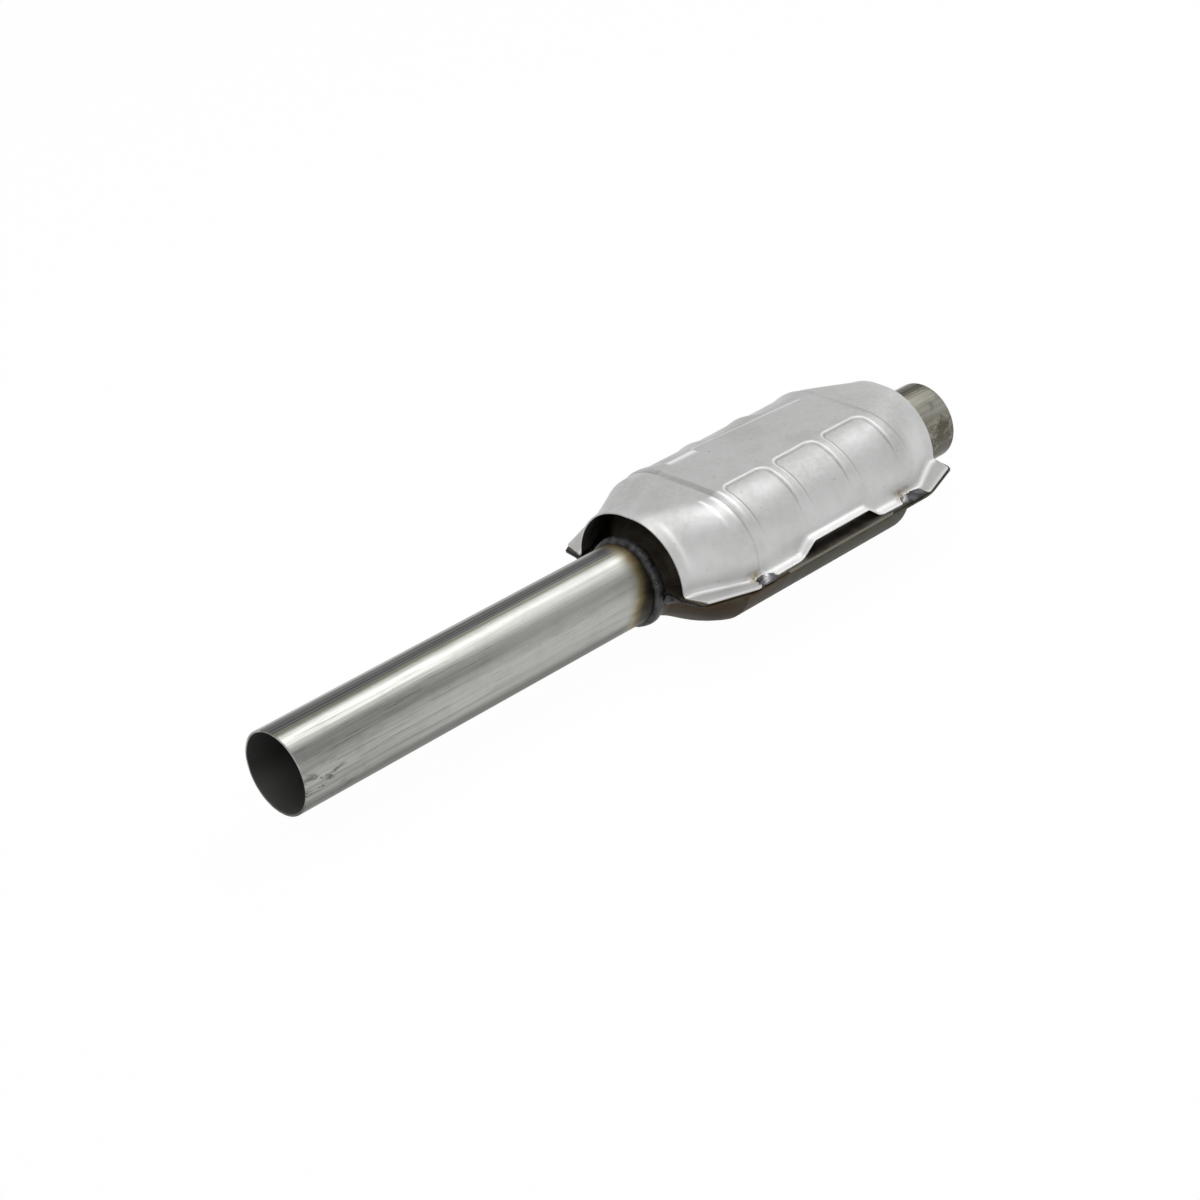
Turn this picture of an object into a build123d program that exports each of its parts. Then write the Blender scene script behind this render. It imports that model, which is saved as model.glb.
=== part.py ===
import os
from math import cos, floor, pi, radians, sin, sqrt

from build123d import *

# Catalytic converter with a pressed clamshell body, two exhaust pipes and a heat shield.
# Millimetres. The origin is the centre of the inlet pipe's open end, +X runs along the
# pipes towards the outlet, +Z is up and the shell halves meet at Z = 0.

# Exhaust pipes
pipe_diameter = 57.15
pipe_wall = 1.65
inlet_length = 295.8
outlet_length = 38.7
sized_step = 0.6
pipe_insertion = 11.0
pipe_mouth_break = 0.35

# Pressed shell halves
sheet = 1.6
body_width = 129.0
body_height = 93.0
crown_angle = 62.0
neck_length = 12.0
neck_slip_gap = 0.1
cone_length = 38.0
cone_bend = 0.35
cone_stations = 5

# Shell flange, widths out from the body's side and runs from the shell's end
flange_front_run = 1.0
flange_nose_run = 5.5
flange_corner_run = 42.0
flange_width = 13.0
flange_nose_inset = 13.0
flange_corner_fillet = 6.0
upper_flange_inset = 1.0
ledge_lead = 15.9
ledge_lag = 6.1

# Weld beads
pipe_weld_width = 8.5
pipe_weld_height = 4.3
seam_weld_radius = 2.3
seam_weld_margin = 1.6
shield_weld_height = 2.6
shield_weld_taper = 30.0
shield_weld_wall_gap = 1.2
shield_weld_edge_gap = 0.1
inlet_shield_weld_lag = 11.5
outlet_shield_weld_lag = 13.5
inlet_shield_weld_length = 16.0
outlet_shield_weld_length = 22.0

# Ceramic bricks, their mats and the end seals
mat_thickness = 4.0
packing_gap = 0.15
brick_length = 72.0
brick_spacing = 10.0
brick_end_gap = 4.0
channel_pitch = 9.0
channel_wall = 1.5
seal_width = 7.0

# Heat shield, whose shoulders and barrel clear the body's sides and crown by their gaps
shield_sheet = 1.0
shield_setback = 3.9
arch_half_width = 48.4
arch_height = 46.4
arch_corner = 44.2
collar_run = 8.5
collar_half_width = 49.0
collar_height = 48.3
collar_corner = 45.0
inlet_shoulder_lead = 4.1
outlet_shoulder_lead = 7.1
shoulder_side_gap = 1.2
shoulder_top_gap = 2.4
shoulder_corner = 43.0
barrel_side_gap = 1.7
barrel_top_gap = 2.3
barrel_corner = 42.4
rib_rise = 1.2
rib_width = 7.0
rib_flank = 3.5
rib_count = 4
inlet_rib_lag = 12.9
outlet_rib_lag = 2.1
panel_step = 1.5
wall_draft_angle = 10.0

# Shield rim: tabs at the ends and a raised stretch along each side
tab_nose_lag = 2.9
tab_corner_lag = 1.4
tab_overhang = 0.5
tab_nose_overhang = 0.8
tab_length = 23.0
tab_taper = 1.0
rim_lead = 2.0
rim_width = 6.6
joggle_length = 77.0
joggle_shift = 1.4
joggle_ramp = 10.5
joggle_rise = 8.3
rim_root_inset = 0.9

# Places along the pipes, worked out from the lengths above
pipe_radius = pipe_diameter / 2
sized_radius = pipe_radius - sized_step
neck_inner_radius = sized_radius + neck_slip_gap
neck_radius = neck_inner_radius + sheet
straight_length = 2 * (brick_length + brick_end_gap) + brick_spacing
body_length = straight_length + 2 * (neck_length + cone_length)
body_start = inlet_length + pipe_weld_width / 2
body_end = body_start + body_length
outlet_start = body_end + pipe_weld_width / 2
overall_length = outlet_start + outlet_length
body_middle = (body_start + body_end) / 2
half_body_width = body_width / 2
half_body_height = body_height / 2
flange_half_width = half_body_width + flange_width
flange_nose_half_width = flange_half_width - flange_nose_inset
shield_start = body_start + shield_setback
shield_end = body_end - shield_setback
shield_length = shield_end - shield_start
shield_foot = sheet
cone_end_run = neck_length + cone_length - shield_setback
inlet_shoulder_run = cone_end_run - inlet_shoulder_lead
outlet_shoulder_run = cone_end_run - outlet_shoulder_lead
first_rib_run = cone_end_run + inlet_rib_lag
last_rib_run = shield_length - cone_end_run - outlet_rib_lag
rib_pitch = (last_rib_run - first_rib_run) / (rib_count - 1)
joggle_start = body_middle + joggle_shift - joggle_length / 2
joggle_end = joggle_start + joggle_length
ledge_length = ledge_lead + joggle_length + ledge_lag
ledge_middle = joggle_start - ledge_lead + ledge_length / 2
tab_nose_run = flange_nose_run - shield_setback + tab_nose_lag
tab_corner_run = flange_corner_run - shield_setback + tab_corner_lag
tab_tail_run = tab_corner_run + tab_length
shoulder_half_width = half_body_width + shoulder_side_gap
shoulder_height = half_body_height + shoulder_top_gap
barrel_half_width = half_body_width + barrel_side_gap
barrel_height = half_body_height + barrel_top_gap
tab_half_width = flange_half_width + tab_overhang
tab_nose_half_width = flange_nose_half_width + tab_nose_overhang
rim_half_width = barrel_half_width + rim_width
shield_weld_inner = barrel_half_width + shield_weld_wall_gap
shield_weld_depth = tab_half_width - shield_weld_edge_gap - shield_weld_inner

os.makedirs("parts", exist_ok=True)


def write(part, name):
    """Label a finished piece and save it under the same name."""
    part.label = name
    export_step(part, f"parts/{name}.step")


def oval_radii(half_width, half_height):
    """Side and crown radii of a four-centre oval whose arcs join at crown_angle."""
    join = radians(crown_angle)
    spread = (half_width - half_height) / (cos(join) + sin(join) - 1)
    side = half_width - spread * cos(join)
    return side, side + spread


def oval_reach(half_width, half_height, height):
    """Half width of the oval at a height above its middle."""
    side, crown = oval_radii(half_width, half_height)
    if height <= side * sin(radians(crown_angle)):
        return half_width - side + sqrt(side**2 - height**2)
    return sqrt(max(crown**2 - (height + crown - half_height) ** 2, 0))


def half_oval(x, half_width, half_height):
    """Upper half of the oval as a section across the pipes, always with the same four edges."""
    side, crown = oval_radii(half_width, half_height)
    crown_arc = 180 - 2 * crown_angle
    edges = [
        CenterArc((half_width - side, 0), side, 0, crown_angle, mode=Mode.PRIVATE),
        CenterArc((0, half_height - crown), crown, crown_angle, crown_arc, mode=Mode.PRIVATE),
        CenterArc((side - half_width, 0), side, 180 - crown_angle, crown_angle, mode=Mode.PRIVATE),
        Line((-half_width, 0), (half_width, 0), mode=Mode.PRIVATE),
    ]
    return Plane.YZ.offset(x) * Face(Wire(edges))


def full_oval(inset):
    """Whole oval of the straight body, taken in from its outside by an inset."""
    half_width = half_body_width - inset
    half_height = half_body_height - inset
    side, crown = oval_radii(half_width, half_height)
    crown_arc = 180 - 2 * crown_angle
    with BuildSketch() as section:
        with BuildLine():
            CenterArc((half_width - side, 0), side, -crown_angle, 2 * crown_angle)
            CenterArc((0, half_height - crown), crown, crown_angle, crown_arc)
            CenterArc((side - half_width, 0), side, 180 - crown_angle, 2 * crown_angle)
            CenterArc((0, crown - half_height), crown, 180 + crown_angle, crown_arc)
        make_face()
    return section.sketch


# Pipes: bare tube, with the end that goes into the neck sized down and the mouth deburred
with BuildPart() as inlet_pipe:
    with BuildSketch(Plane.XZ) as tube_section:
        with BuildLine():
            Polyline(
                (0, pipe_radius - pipe_wall),
                (0, pipe_radius),
                (inlet_length, pipe_radius),
                (inlet_length, sized_radius),
                (body_start + pipe_insertion, sized_radius),
                (body_start + pipe_insertion, sized_radius - pipe_wall),
                (inlet_length + sized_step, sized_radius - pipe_wall),
                (inlet_length, pipe_radius - pipe_wall),
                close=True,
            )
        make_face()
    revolve(axis=Axis.X)
    open_end = inlet_pipe.edges().group_by(Axis.X)[0]
    chamfer(open_end.sort_by(SortBy.RADIUS)[0], pipe_mouth_break)
write(inlet_pipe.part, "inlet_pipe")

with BuildPart() as outlet_pipe:
    with BuildSketch(Plane.XZ) as tube_section:
        with BuildLine():
            Polyline(
                (overall_length, pipe_radius - pipe_wall),
                (overall_length, pipe_radius),
                (outlet_start, pipe_radius),
                (outlet_start, sized_radius),
                (body_end - pipe_insertion, sized_radius),
                (body_end - pipe_insertion, sized_radius - pipe_wall),
                (outlet_start - sized_step, sized_radius - pipe_wall),
                (outlet_start, pipe_radius - pipe_wall),
                close=True,
            )
        make_face()
    revolve(axis=Axis.X)
    open_end = outlet_pipe.edges().group_by(Axis.X)[-1]
    chamfer(open_end.sort_by(SortBy.RADIUS)[0], pipe_mouth_break)
write(outlet_pipe.part, "outlet_pipe")


# Shell halves: neck, swelling cone, straight oval body, cone and neck, with a flat flange
def shell_sections(inset):
    """Half sections from the inlet neck to the outlet neck, taken in by an inset."""
    sizes = [(0, 0)]
    for station in range(cone_stations + 1):
        share = station / cone_stations
        swell = share - cone_bend * sin(2 * pi * share) / (2 * pi)
        sizes.append((neck_length + share * cone_length, swell))
    sections = []
    for run, swell in sizes:
        half_width = neck_radius + (half_body_width - neck_radius) * swell
        half_height = neck_radius + (half_body_height - neck_radius) * swell
        sections.append((run, half_width - inset, half_height - inset))
    near = [half_oval(body_start + run, w, h) for run, w, h in sections]
    far = [half_oval(body_end - run, w, h) for run, w, h in reversed(sections)]
    return near + far


def flange_outline(half_width):
    """Plan of the flange, out to a half width along the body."""
    corner = half_width - flange_half_width
    edge = [
        (body_start + flange_front_run, 0),
        (body_start + flange_front_run, neck_radius),
        (body_start + flange_nose_run, flange_nose_half_width + corner),
        (body_start + flange_corner_run, half_width),
    ]
    far_edge = [(body_start + body_end - x, y) for x, y in reversed(edge)]
    with BuildSketch() as plan:
        with BuildLine():
            Polyline(*edge, *far_edge, close=True)
        make_face()
        outer_corners = plan.vertices().group_by(Axis.Y)[-1]
        fillet(outer_corners, flange_corner_fillet)
        mirror(about=Plane.XZ)
    return plan.sketch


with BuildPart() as upper_half_shell:
    loft(sections=shell_sections(0), ruled=True)
    add(flange_outline(flange_half_width - upper_flange_inset))
    extrude(amount=sheet)
    with BuildSketch() as ledge:
        with Locations((ledge_middle, 0)):
            Rectangle(ledge_length, 2 * flange_half_width)
    extrude(amount=sheet)
    loft(sections=shell_sections(sheet), ruled=True, mode=Mode.SUBTRACT)
write(upper_half_shell.part, "upper_half_shell")

with BuildPart() as lower_half_shell:
    loft(sections=shell_sections(0), ruled=True)
    add(flange_outline(flange_half_width))
    extrude(amount=sheet)
    loft(sections=shell_sections(sheet), ruled=True, mode=Mode.SUBTRACT)
    mirror(about=Plane.XY, mode=Mode.REPLACE)
write(lower_half_shell.part, "lower_half_shell")


# Weld beads round the pipes: each fills the corner between a pipe and its neck
def pipe_weld_profile(pipe_side, neck_side, neck_face):
    """Bead section, crowned over the joint and stepped where the neck's end meets it."""
    crest = (neck_face, sized_radius + pipe_weld_height)
    with BuildSketch(Plane.XZ) as profile:
        with BuildLine():
            Line((pipe_side, sized_radius), (neck_face, sized_radius))
            Line((neck_face, sized_radius), (neck_face, neck_radius))
            Line((neck_face, neck_radius), (neck_side, neck_radius))
            ThreePointArc((neck_side, neck_radius), crest, (pipe_side, pipe_radius))
            Line((pipe_side, pipe_radius), (pipe_side, sized_radius))
        make_face()
    return profile.sketch


def flange_slot(front_x, inward):
    """Plan of the room that the flanges take where they run into a bead."""
    room = pipe_weld_width
    with BuildSketch() as slot:
        with Locations((front_x + inward * room / 2, 0)):
            Rectangle(room, 2 * flange_half_width)
    return slot.sketch


with BuildPart() as inlet_pipe_weld:
    add(pipe_weld_profile(inlet_length, body_start + pipe_weld_width / 2, body_start))
    revolve(axis=Axis.X)
    add(flange_slot(body_start + flange_front_run, 1))
    extrude(amount=sheet, both=True, mode=Mode.SUBTRACT)
write(inlet_pipe_weld.part, "inlet_pipe_weld")

with BuildPart() as outlet_pipe_weld:
    add(pipe_weld_profile(outlet_start, body_end - pipe_weld_width / 2, body_end))
    revolve(axis=Axis.X)
    add(flange_slot(body_end - flange_front_run, -1))
    extrude(amount=sheet, both=True, mode=Mode.SUBTRACT)
write(outlet_pipe_weld.part, "outlet_pipe_weld")

# Seam welds: half-round beads that close the flanges' front edges beside each neck
front_run = flange_nose_run - flange_front_run
front_rise = flange_nose_half_width - neck_radius
front_length = sqrt(front_run**2 + front_rise**2)
seam_weld_length = front_length - pipe_weld_height - 2 * seam_weld_margin
for end_name, end_x, inward in (("inlet", body_start, 1), ("outlet", body_end, -1)):
    for side_name, side in (("left", 1), ("right", -1)):
        along = Vector(inward * front_run, side * front_rise, 0).normalized()
        outward = Vector(-inward * front_rise, side * front_run, 0).normalized()
        foot = Vector(end_x + inward * flange_front_run, side * neck_radius, 0)
        bead_plane = Plane(
            origin=foot + along * (pipe_weld_height + seam_weld_margin),
            x_dir=outward,
            z_dir=along,
        )
        with BuildPart() as seam_weld:
            with BuildSketch(bead_plane) as bead_section:
                Circle(seam_weld_radius)
                with Locations((-seam_weld_radius, 0)):
                    Rectangle(2 * seam_weld_radius, 2 * seam_weld_radius, mode=Mode.SUBTRACT)
            extrude(amount=seam_weld_length)
        write(seam_weld.part, f"{end_name}_seam_weld_{side_name}")

# Ceramic bricks: oval, with square channels from end to end
brick_inset = sheet + mat_thickness
brick_half_width = half_body_width - brick_inset
brick_half_height = half_body_height - brick_inset
channel_rows = floor((brick_half_height - channel_wall - channel_pitch / 2) / channel_pitch)
channel_side = channel_pitch - channel_wall


def channel_mouths():
    """Square channels in aligned rows, as many to each row as the oval holds."""
    with BuildSketch() as mouths:
        for row in range(-channel_rows, channel_rows + 1):
            top_of_row = abs(row) * channel_pitch + channel_side / 2
            reach = oval_reach(brick_half_width, brick_half_height, top_of_row)
            each_way = floor((reach - channel_wall - channel_side / 2) / channel_pitch)
            with Locations((0, row * channel_pitch)):
                with GridLocations(channel_pitch, 1, 2 * each_way + 1, 1):
                    Rectangle(channel_side, channel_side)
    return mouths.sketch


half_spacing = (brick_length + brick_spacing) / 2
for brick_name, middle in (
    ("front", body_middle - half_spacing),
    ("rear", body_middle + half_spacing),
):
    start = middle - brick_length / 2
    with BuildPart() as brick:
        with BuildSketch(Plane.YZ.offset(start)):
            add(full_oval(brick_inset + packing_gap))
            add(channel_mouths(), mode=Mode.SUBTRACT)
        extrude(amount=brick_length)
    write(brick.part, f"{brick_name}_brick")

    # The mat grips the brick between its two end seals
    with BuildPart() as mat:
        with BuildSketch(Plane.YZ.offset(start + seal_width)):
            add(full_oval(sheet + packing_gap))
            add(full_oval(brick_inset), mode=Mode.SUBTRACT)
        extrude(amount=brick_length - 2 * seal_width)
    write(mat.part, f"{brick_name}_mat")

    for seal_side, seal_start in (("inlet", start), ("outlet", start + brick_length - seal_width)):
        with BuildPart() as seal:
            with BuildSketch(Plane.YZ.offset(seal_start)):
                add(full_oval(sheet + packing_gap))
                add(full_oval(brick_inset), mode=Mode.SUBTRACT)
            extrude(amount=seal_width)
        write(seal.part, f"{brick_name}_{seal_side}_seal")


# Heat shield: one pressed sheet with a flat top panel, ribs down its sides and open arches
def shield_section(x, size, side_rise, top_rise, inset):
    """Section across the shield, always with the same eight edges."""
    half_width, height, corner = size
    middle = half_width - corner
    base = height - corner
    radius = corner + side_rise - inset
    start = radians(wall_draft_angle)
    turn = 90 - wall_draft_angle
    foot = half_width - inset
    wall_top = (middle + radius * cos(start), base + radius * sin(start))
    step_top = (middle - panel_step, height + top_rise - inset)
    step_foot = (middle, base + radius)
    hidden = Mode.PRIVATE
    edges = [
        Line((foot, shield_foot), wall_top, mode=hidden),
        CenterArc((middle, base), radius, wall_draft_angle, turn, mode=hidden),
        Line(step_foot, step_top, mode=hidden),
        Line(step_top, (-step_top[0], step_top[1]), mode=hidden),
        Line((-step_top[0], step_top[1]), (-step_foot[0], step_foot[1]), mode=hidden),
        CenterArc((-middle, base), radius, 90, turn, mode=hidden),
        Line((-wall_top[0], wall_top[1]), (-foot, shield_foot), mode=hidden),
        Line((-foot, shield_foot), (foot, shield_foot), mode=hidden),
    ]
    return Plane.YZ.offset(x) * Face(Wire(edges))


arch = (arch_half_width, arch_height, arch_corner)
collar = (collar_half_width, collar_height, collar_corner)
shoulder = (shoulder_half_width, shoulder_height, shoulder_corner)
barrel = (barrel_half_width, barrel_height, barrel_corner)


def shield_sections(inset):
    """Sections from arch to arch: collar, shoulder, then ribs with sunk side panels between."""
    stations = [
        (0, arch, 0, 0),
        (collar_run, collar, 0, 0),
        (inlet_shoulder_run, shoulder, 0, 0),
    ]
    for rib in range(rib_count):
        crest_start = first_rib_run + rib * rib_pitch - rib_width / 2
        crest_end = crest_start + rib_width
        top_before = 0 if rib == 0 else rib_rise
        top_after = 0 if rib == rib_count - 1 else rib_rise
        stations += [
            (crest_start - rib_flank, barrel, 0, top_before),
            (crest_start, barrel, rib_rise, rib_rise),
            (crest_end, barrel, rib_rise, rib_rise),
            (crest_end + rib_flank, barrel, 0, top_after),
        ]
    stations += [
        (shield_length - outlet_shoulder_run, shoulder, 0, 0),
        (shield_length - collar_run, collar, 0, 0),
        (shield_length, arch, 0, 0),
    ]
    return [shield_section(shield_start + run, *rest, inset) for run, *rest in stations]


def rim_outline():
    """Plan of the shield's flat rim: a tab at each end, and narrow where it is raised."""
    tab = [
        (0, arch_half_width),
        (tab_nose_run, tab_nose_half_width),
        (tab_corner_run, tab_half_width),
        (tab_tail_run, tab_half_width - tab_taper),
    ]
    edge = [(shield_start + run, reach) for run, reach in tab]
    edge += [(joggle_start - rim_lead, rim_half_width), (joggle_end + rim_lead, rim_half_width)]
    edge += [(shield_end - run, reach) for run, reach in reversed(tab)]
    with BuildSketch(Plane.XY.offset(shield_foot)) as plan:
        with BuildLine():
            Polyline(*edge, (shield_end, 0), (shield_start, 0), close=True)
        make_face()
        mirror(about=Plane.XZ)
    return plan.sketch


def joggle_path(lift):
    """Side view of the raised stretch of rim, lifted by a sheet or not at all."""
    low = shield_foot + lift
    high = low + joggle_rise
    return [
        (joggle_start, low),
        (joggle_start + joggle_ramp, high),
        (joggle_end - joggle_ramp, high),
        (joggle_end, low),
    ]


def shield_weld_print(middle, length, side):
    """Plan of one shield weld beside the wall's foot."""
    across = shield_weld_inner + shield_weld_depth / 2
    with BuildSketch(Plane.XY.offset(shield_foot)) as footprint:
        with Locations((middle, side * across)):
            Ellipse(length / 2, shield_weld_depth / 2)
    return footprint.sketch


inlet_weld_run = tab_corner_run + inlet_shield_weld_lag
outlet_weld_run = tab_corner_run + outlet_shield_weld_lag
shield_welds = [
    ("inlet", shield_start + inlet_weld_run, inlet_shield_weld_length),
    ("outlet", shield_end - outlet_weld_run, outlet_shield_weld_length),
]
sides = [("left", 1), ("right", -1)]

with BuildPart() as heat_shield:
    loft(sections=shield_sections(0), ruled=True)
    add(rim_outline())
    extrude(amount=shield_sheet)
    loft(sections=shield_sections(shield_sheet), ruled=True, mode=Mode.SUBTRACT)
    # The rim and the wall's foot are cut away where the rim is raised
    with BuildSketch(Plane.XZ) as raised_gap:
        with BuildLine():
            Polyline(*joggle_path(0), close=True)
        make_face()
    extrude(amount=tab_half_width, both=True, mode=Mode.SUBTRACT)
    rim_root = barrel_half_width - rim_root_inset
    with BuildSketch(Plane.XZ.offset(rim_root)) as raised_rim:
        with BuildLine():
            Polyline(*joggle_path(0), *reversed(joggle_path(shield_sheet)), close=True)
        make_face()
    right_rim = extrude(amount=rim_half_width - rim_root)
    mirror(right_rim, about=Plane.XZ)
    # Notches in the rim hold the welds
    for _, middle, length in shield_welds:
        for _, side in sides:
            add(shield_weld_print(middle, length, side))
    extrude(amount=shield_sheet, mode=Mode.SUBTRACT)
write(heat_shield.part, "heat_shield")

# Shield welds: short fillets that fill the notches and sit on the shell's flange
for end_name, middle, length in shield_welds:
    for side_name, side in sides:
        with BuildPart() as shield_weld:
            add(shield_weld_print(middle, length, side))
            extrude(amount=shield_weld_height, taper=shield_weld_taper)
        write(shield_weld.part, f"{end_name}_shield_weld_{side_name}")
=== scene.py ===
from math import cos, exp, pi, radians, sin, sqrt

import bmesh
import bpy
from mathutils import Matrix, Vector, noise


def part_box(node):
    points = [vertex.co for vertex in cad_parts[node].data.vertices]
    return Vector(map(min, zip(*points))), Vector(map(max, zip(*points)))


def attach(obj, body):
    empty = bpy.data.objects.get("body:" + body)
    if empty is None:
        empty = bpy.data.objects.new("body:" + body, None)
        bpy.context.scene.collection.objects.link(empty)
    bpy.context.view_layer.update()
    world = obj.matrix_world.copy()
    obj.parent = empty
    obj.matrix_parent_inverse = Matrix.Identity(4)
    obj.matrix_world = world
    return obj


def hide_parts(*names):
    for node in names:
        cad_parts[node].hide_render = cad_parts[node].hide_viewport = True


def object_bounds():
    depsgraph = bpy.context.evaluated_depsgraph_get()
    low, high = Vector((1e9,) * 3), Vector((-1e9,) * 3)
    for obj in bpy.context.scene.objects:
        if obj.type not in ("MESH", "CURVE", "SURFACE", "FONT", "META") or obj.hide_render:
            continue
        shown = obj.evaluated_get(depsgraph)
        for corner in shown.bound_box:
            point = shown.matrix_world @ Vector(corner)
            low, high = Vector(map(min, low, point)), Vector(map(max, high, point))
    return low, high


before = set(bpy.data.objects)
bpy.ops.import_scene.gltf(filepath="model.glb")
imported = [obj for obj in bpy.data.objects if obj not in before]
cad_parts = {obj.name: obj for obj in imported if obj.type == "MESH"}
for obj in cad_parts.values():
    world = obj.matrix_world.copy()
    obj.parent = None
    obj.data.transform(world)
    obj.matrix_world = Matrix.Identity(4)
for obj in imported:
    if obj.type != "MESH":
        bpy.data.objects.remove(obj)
cad_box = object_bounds()
mm = 0.001

# The studio: a white sweep under soft overhead light. The camera looks down along the
# long pipe from its open end, as the photograph does.
camera_place = Vector((-0.83236, -1.19573, 0.89886))
camera_right = Vector((0.70560, -0.70521, -0.06942))
camera_up = Vector((0.38598, 0.30034, 0.87225))
camera_data = bpy.data.cameras.new("camera")
camera_data.lens = 85.36
camera_data.sensor_width = 36
camera = bpy.data.objects.new("camera", camera_data)
camera_axes = Matrix((camera_right, camera_up, camera_right.cross(camera_up))).transposed()
camera.matrix_world = Matrix.Translation(camera_place) @ camera_axes.to_4x4()
bpy.context.scene.collection.objects.link(camera)
bpy.context.scene.camera = camera
bpy.context.scene.view_settings.view_transform = "Standard"


def shader_node(tree, kind, inputs=None, **settings):
    """Add a shader node of a kind; each input is a value or the socket that feeds it."""
    made = tree.nodes.new("ShaderNode" + kind)
    for name, value in settings.items():
        setattr(made, name, value)
    for name, value in (inputs or {}).items():
        if isinstance(value, bpy.types.NodeSocket):
            tree.links.new(value, made.inputs[name])
        else:
            made.inputs[name].default_value = value
    return made


def maths(tree, operation, first, second=0.0, clamp=False):
    """Output of one math step."""
    made = shader_node(tree, "Math", {0: first, 1: second}, operation=operation, use_clamp=clamp)
    return made.outputs[0]


def span(tree, value, low, high, to_low=0.0, to_high=1.0, kind="SMOOTHSTEP"):
    """Value carried from one span to another, held at its ends."""
    ends = {"From Min": low, "From Max": high, "To Min": to_low, "To Max": to_high}
    made = shader_node(tree, "MapRange", {"Value": value} | ends, interpolation_type=kind)
    return made.outputs[0]


def seen_ray(tree):
    """One for the rays that show a surface to the eye, straight, mirrored or through glass."""
    rays = shader_node(tree, "LightPath").outputs
    mirrored = maths(tree, "MAXIMUM", rays["Is Camera Ray"], rays["Is Glossy Ray"])
    return maths(tree, "MAXIMUM", mirrored, rays["Is Transmission Ray"])


world = bpy.data.worlds.new("studio_world")
bpy.context.scene.world = world
world.use_nodes = True
world_tree = world.node_tree
world_tree.nodes.clear()
room_light = 0.47
ceiling_grey = 0.50
backdrop_top = 0.05
ceiling_edge = 0.50
sky = shader_node(world_tree, "TexCoord").outputs["Generated"]
sky_height = shader_node(world_tree, "SeparateXYZ", {0: sky}).outputs["Z"]
backdrop = span(world_tree, sky_height, backdrop_top, ceiling_edge, 1.0, ceiling_grey)
world_level = span(world_tree, seen_ray(world_tree), 0.0, 1.0, room_light, backdrop, "LINEAR")
world_shader = shader_node(
    world_tree, "Background", {"Color": (1.0, 1.0, 1.0, 1.0), "Strength": world_level}
)
shader_node(world_tree, "OutputWorld", {"Surface": world_shader.outputs[0]})

floor_mesh = bpy.data.meshes.new("floor")
floor_bm = bmesh.new()
floor_radius = 8.0
bmesh.ops.create_circle(floor_bm, cap_ends=True, radius=floor_radius, segments=64)
bmesh.ops.translate(floor_bm, vec=(cad_box[1].x / 2, 0, cad_box[0].z), verts=floor_bm.verts)
floor_bm.to_mesh(floor_mesh)
floor_bm.free()
floor = bpy.data.objects.new("floor", floor_mesh)
bpy.context.scene.collection.objects.link(floor)

floor_paint = bpy.data.materials.new("floor_paint")
floor_paint.use_nodes = True
floor_tree = floor_paint.node_tree
floor_tree.nodes.clear()
floor_white = (0.98, 0.98, 0.98, 1.0)
glow_share = 0.98
floor_matt = shader_node(floor_tree, "BsdfDiffuse", {"Color": floor_white})
floor_glow = shader_node(floor_tree, "Emission", {"Color": (1.0, 1.0, 1.0, 1.0)})
floor_fade = maths(floor_tree, "MULTIPLY", seen_ray(floor_tree), glow_share)
floor_mix = shader_node(
    floor_tree, "MixShader", {0: floor_fade, 1: floor_matt.outputs[0], 2: floor_glow.outputs[0]}
)
shader_node(floor_tree, "OutputMaterial", {"Surface": floor_mix.outputs[0]})
floor_mesh.materials.append(floor_paint)

lamp_target = Vector((0.30, 0.0, 0.0))


def soft_lamp(name, direction, distance, width, length, brightness):
    """A flat soft box that faces the object, with a brightness of one as white."""
    data = bpy.data.lights.new(name, "AREA")
    data.shape = "RECTANGLE"
    data.size = width
    data.size_y = length
    data.energy = brightness * pi * width * length
    lamp = bpy.data.objects.new(name, data)
    lamp.location = lamp_target + Vector(direction).normalized() * distance
    lamp.rotation_mode = "QUATERNION"
    lamp.rotation_quaternion = Vector(direction).to_track_quat("Z", "X")
    bpy.context.scene.collection.objects.link(lamp)


soft_lamp(
    "overhead_lamp", (0.30, 0.03, 0.95), distance=1.7, width=2.0, length=0.94, brightness=2.95
)
soft_lamp("side_lamp", (-0.30, -0.95, 0.45), distance=2.0, width=1.2, length=1.2, brightness=0.55)


# Finishes that several metals share: long draw marks, loose dirt and the colours that
# steel takes beside a weld. All are shader groups on the object's own coordinates.
def new_group(name, inputs, outputs):
    """A shader group, and the sockets inside it, each with its kind."""
    tree = bpy.data.node_groups.new(name, "ShaderNodeTree")
    for in_out, sockets in (("INPUT", inputs), ("OUTPUT", outputs)):
        for socket_name, kind in sockets.items():
            tree.interface.new_socket(socket_name, in_out=in_out, socket_type="NodeSocket" + kind)
    inlet = tree.nodes.new("NodeGroupInput")
    outlet = tree.nodes.new("NodeGroupOutput")
    return tree, inlet.outputs, outlet.inputs


def use_group(tree, group, inputs):
    """Outputs of a group placed in a material with its own values."""
    return shader_node(tree, "Group", inputs, node_tree=group).outputs


def noise_at(tree, place, scale, detail=3.0, roughness=0.55, stretch=(1, 1, 1), offset=(0, 0, 0)):
    """Noise on a place, stretched per axis; scale is turns in a metre."""
    moved = shader_node(tree, "Mapping", {"Vector": place, "Scale": stretch, "Location": offset})
    inputs = {"Vector": moved.outputs[0], "Scale": scale, "Detail": detail, "Roughness": roughness}
    return shader_node(tree, "TexNoise", inputs).outputs["Fac"]


def blend_colour(tree, share, first, second):
    """First colour changed towards the second; each is red, green and blue, or a socket."""
    first, second = [(*end, 1.0) if isinstance(end, tuple) else end for end in (first, second)]
    return shader_node(tree, "Mix", {0: share, 6: first, 7: second}, data_type="RGBA").outputs[2]


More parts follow.
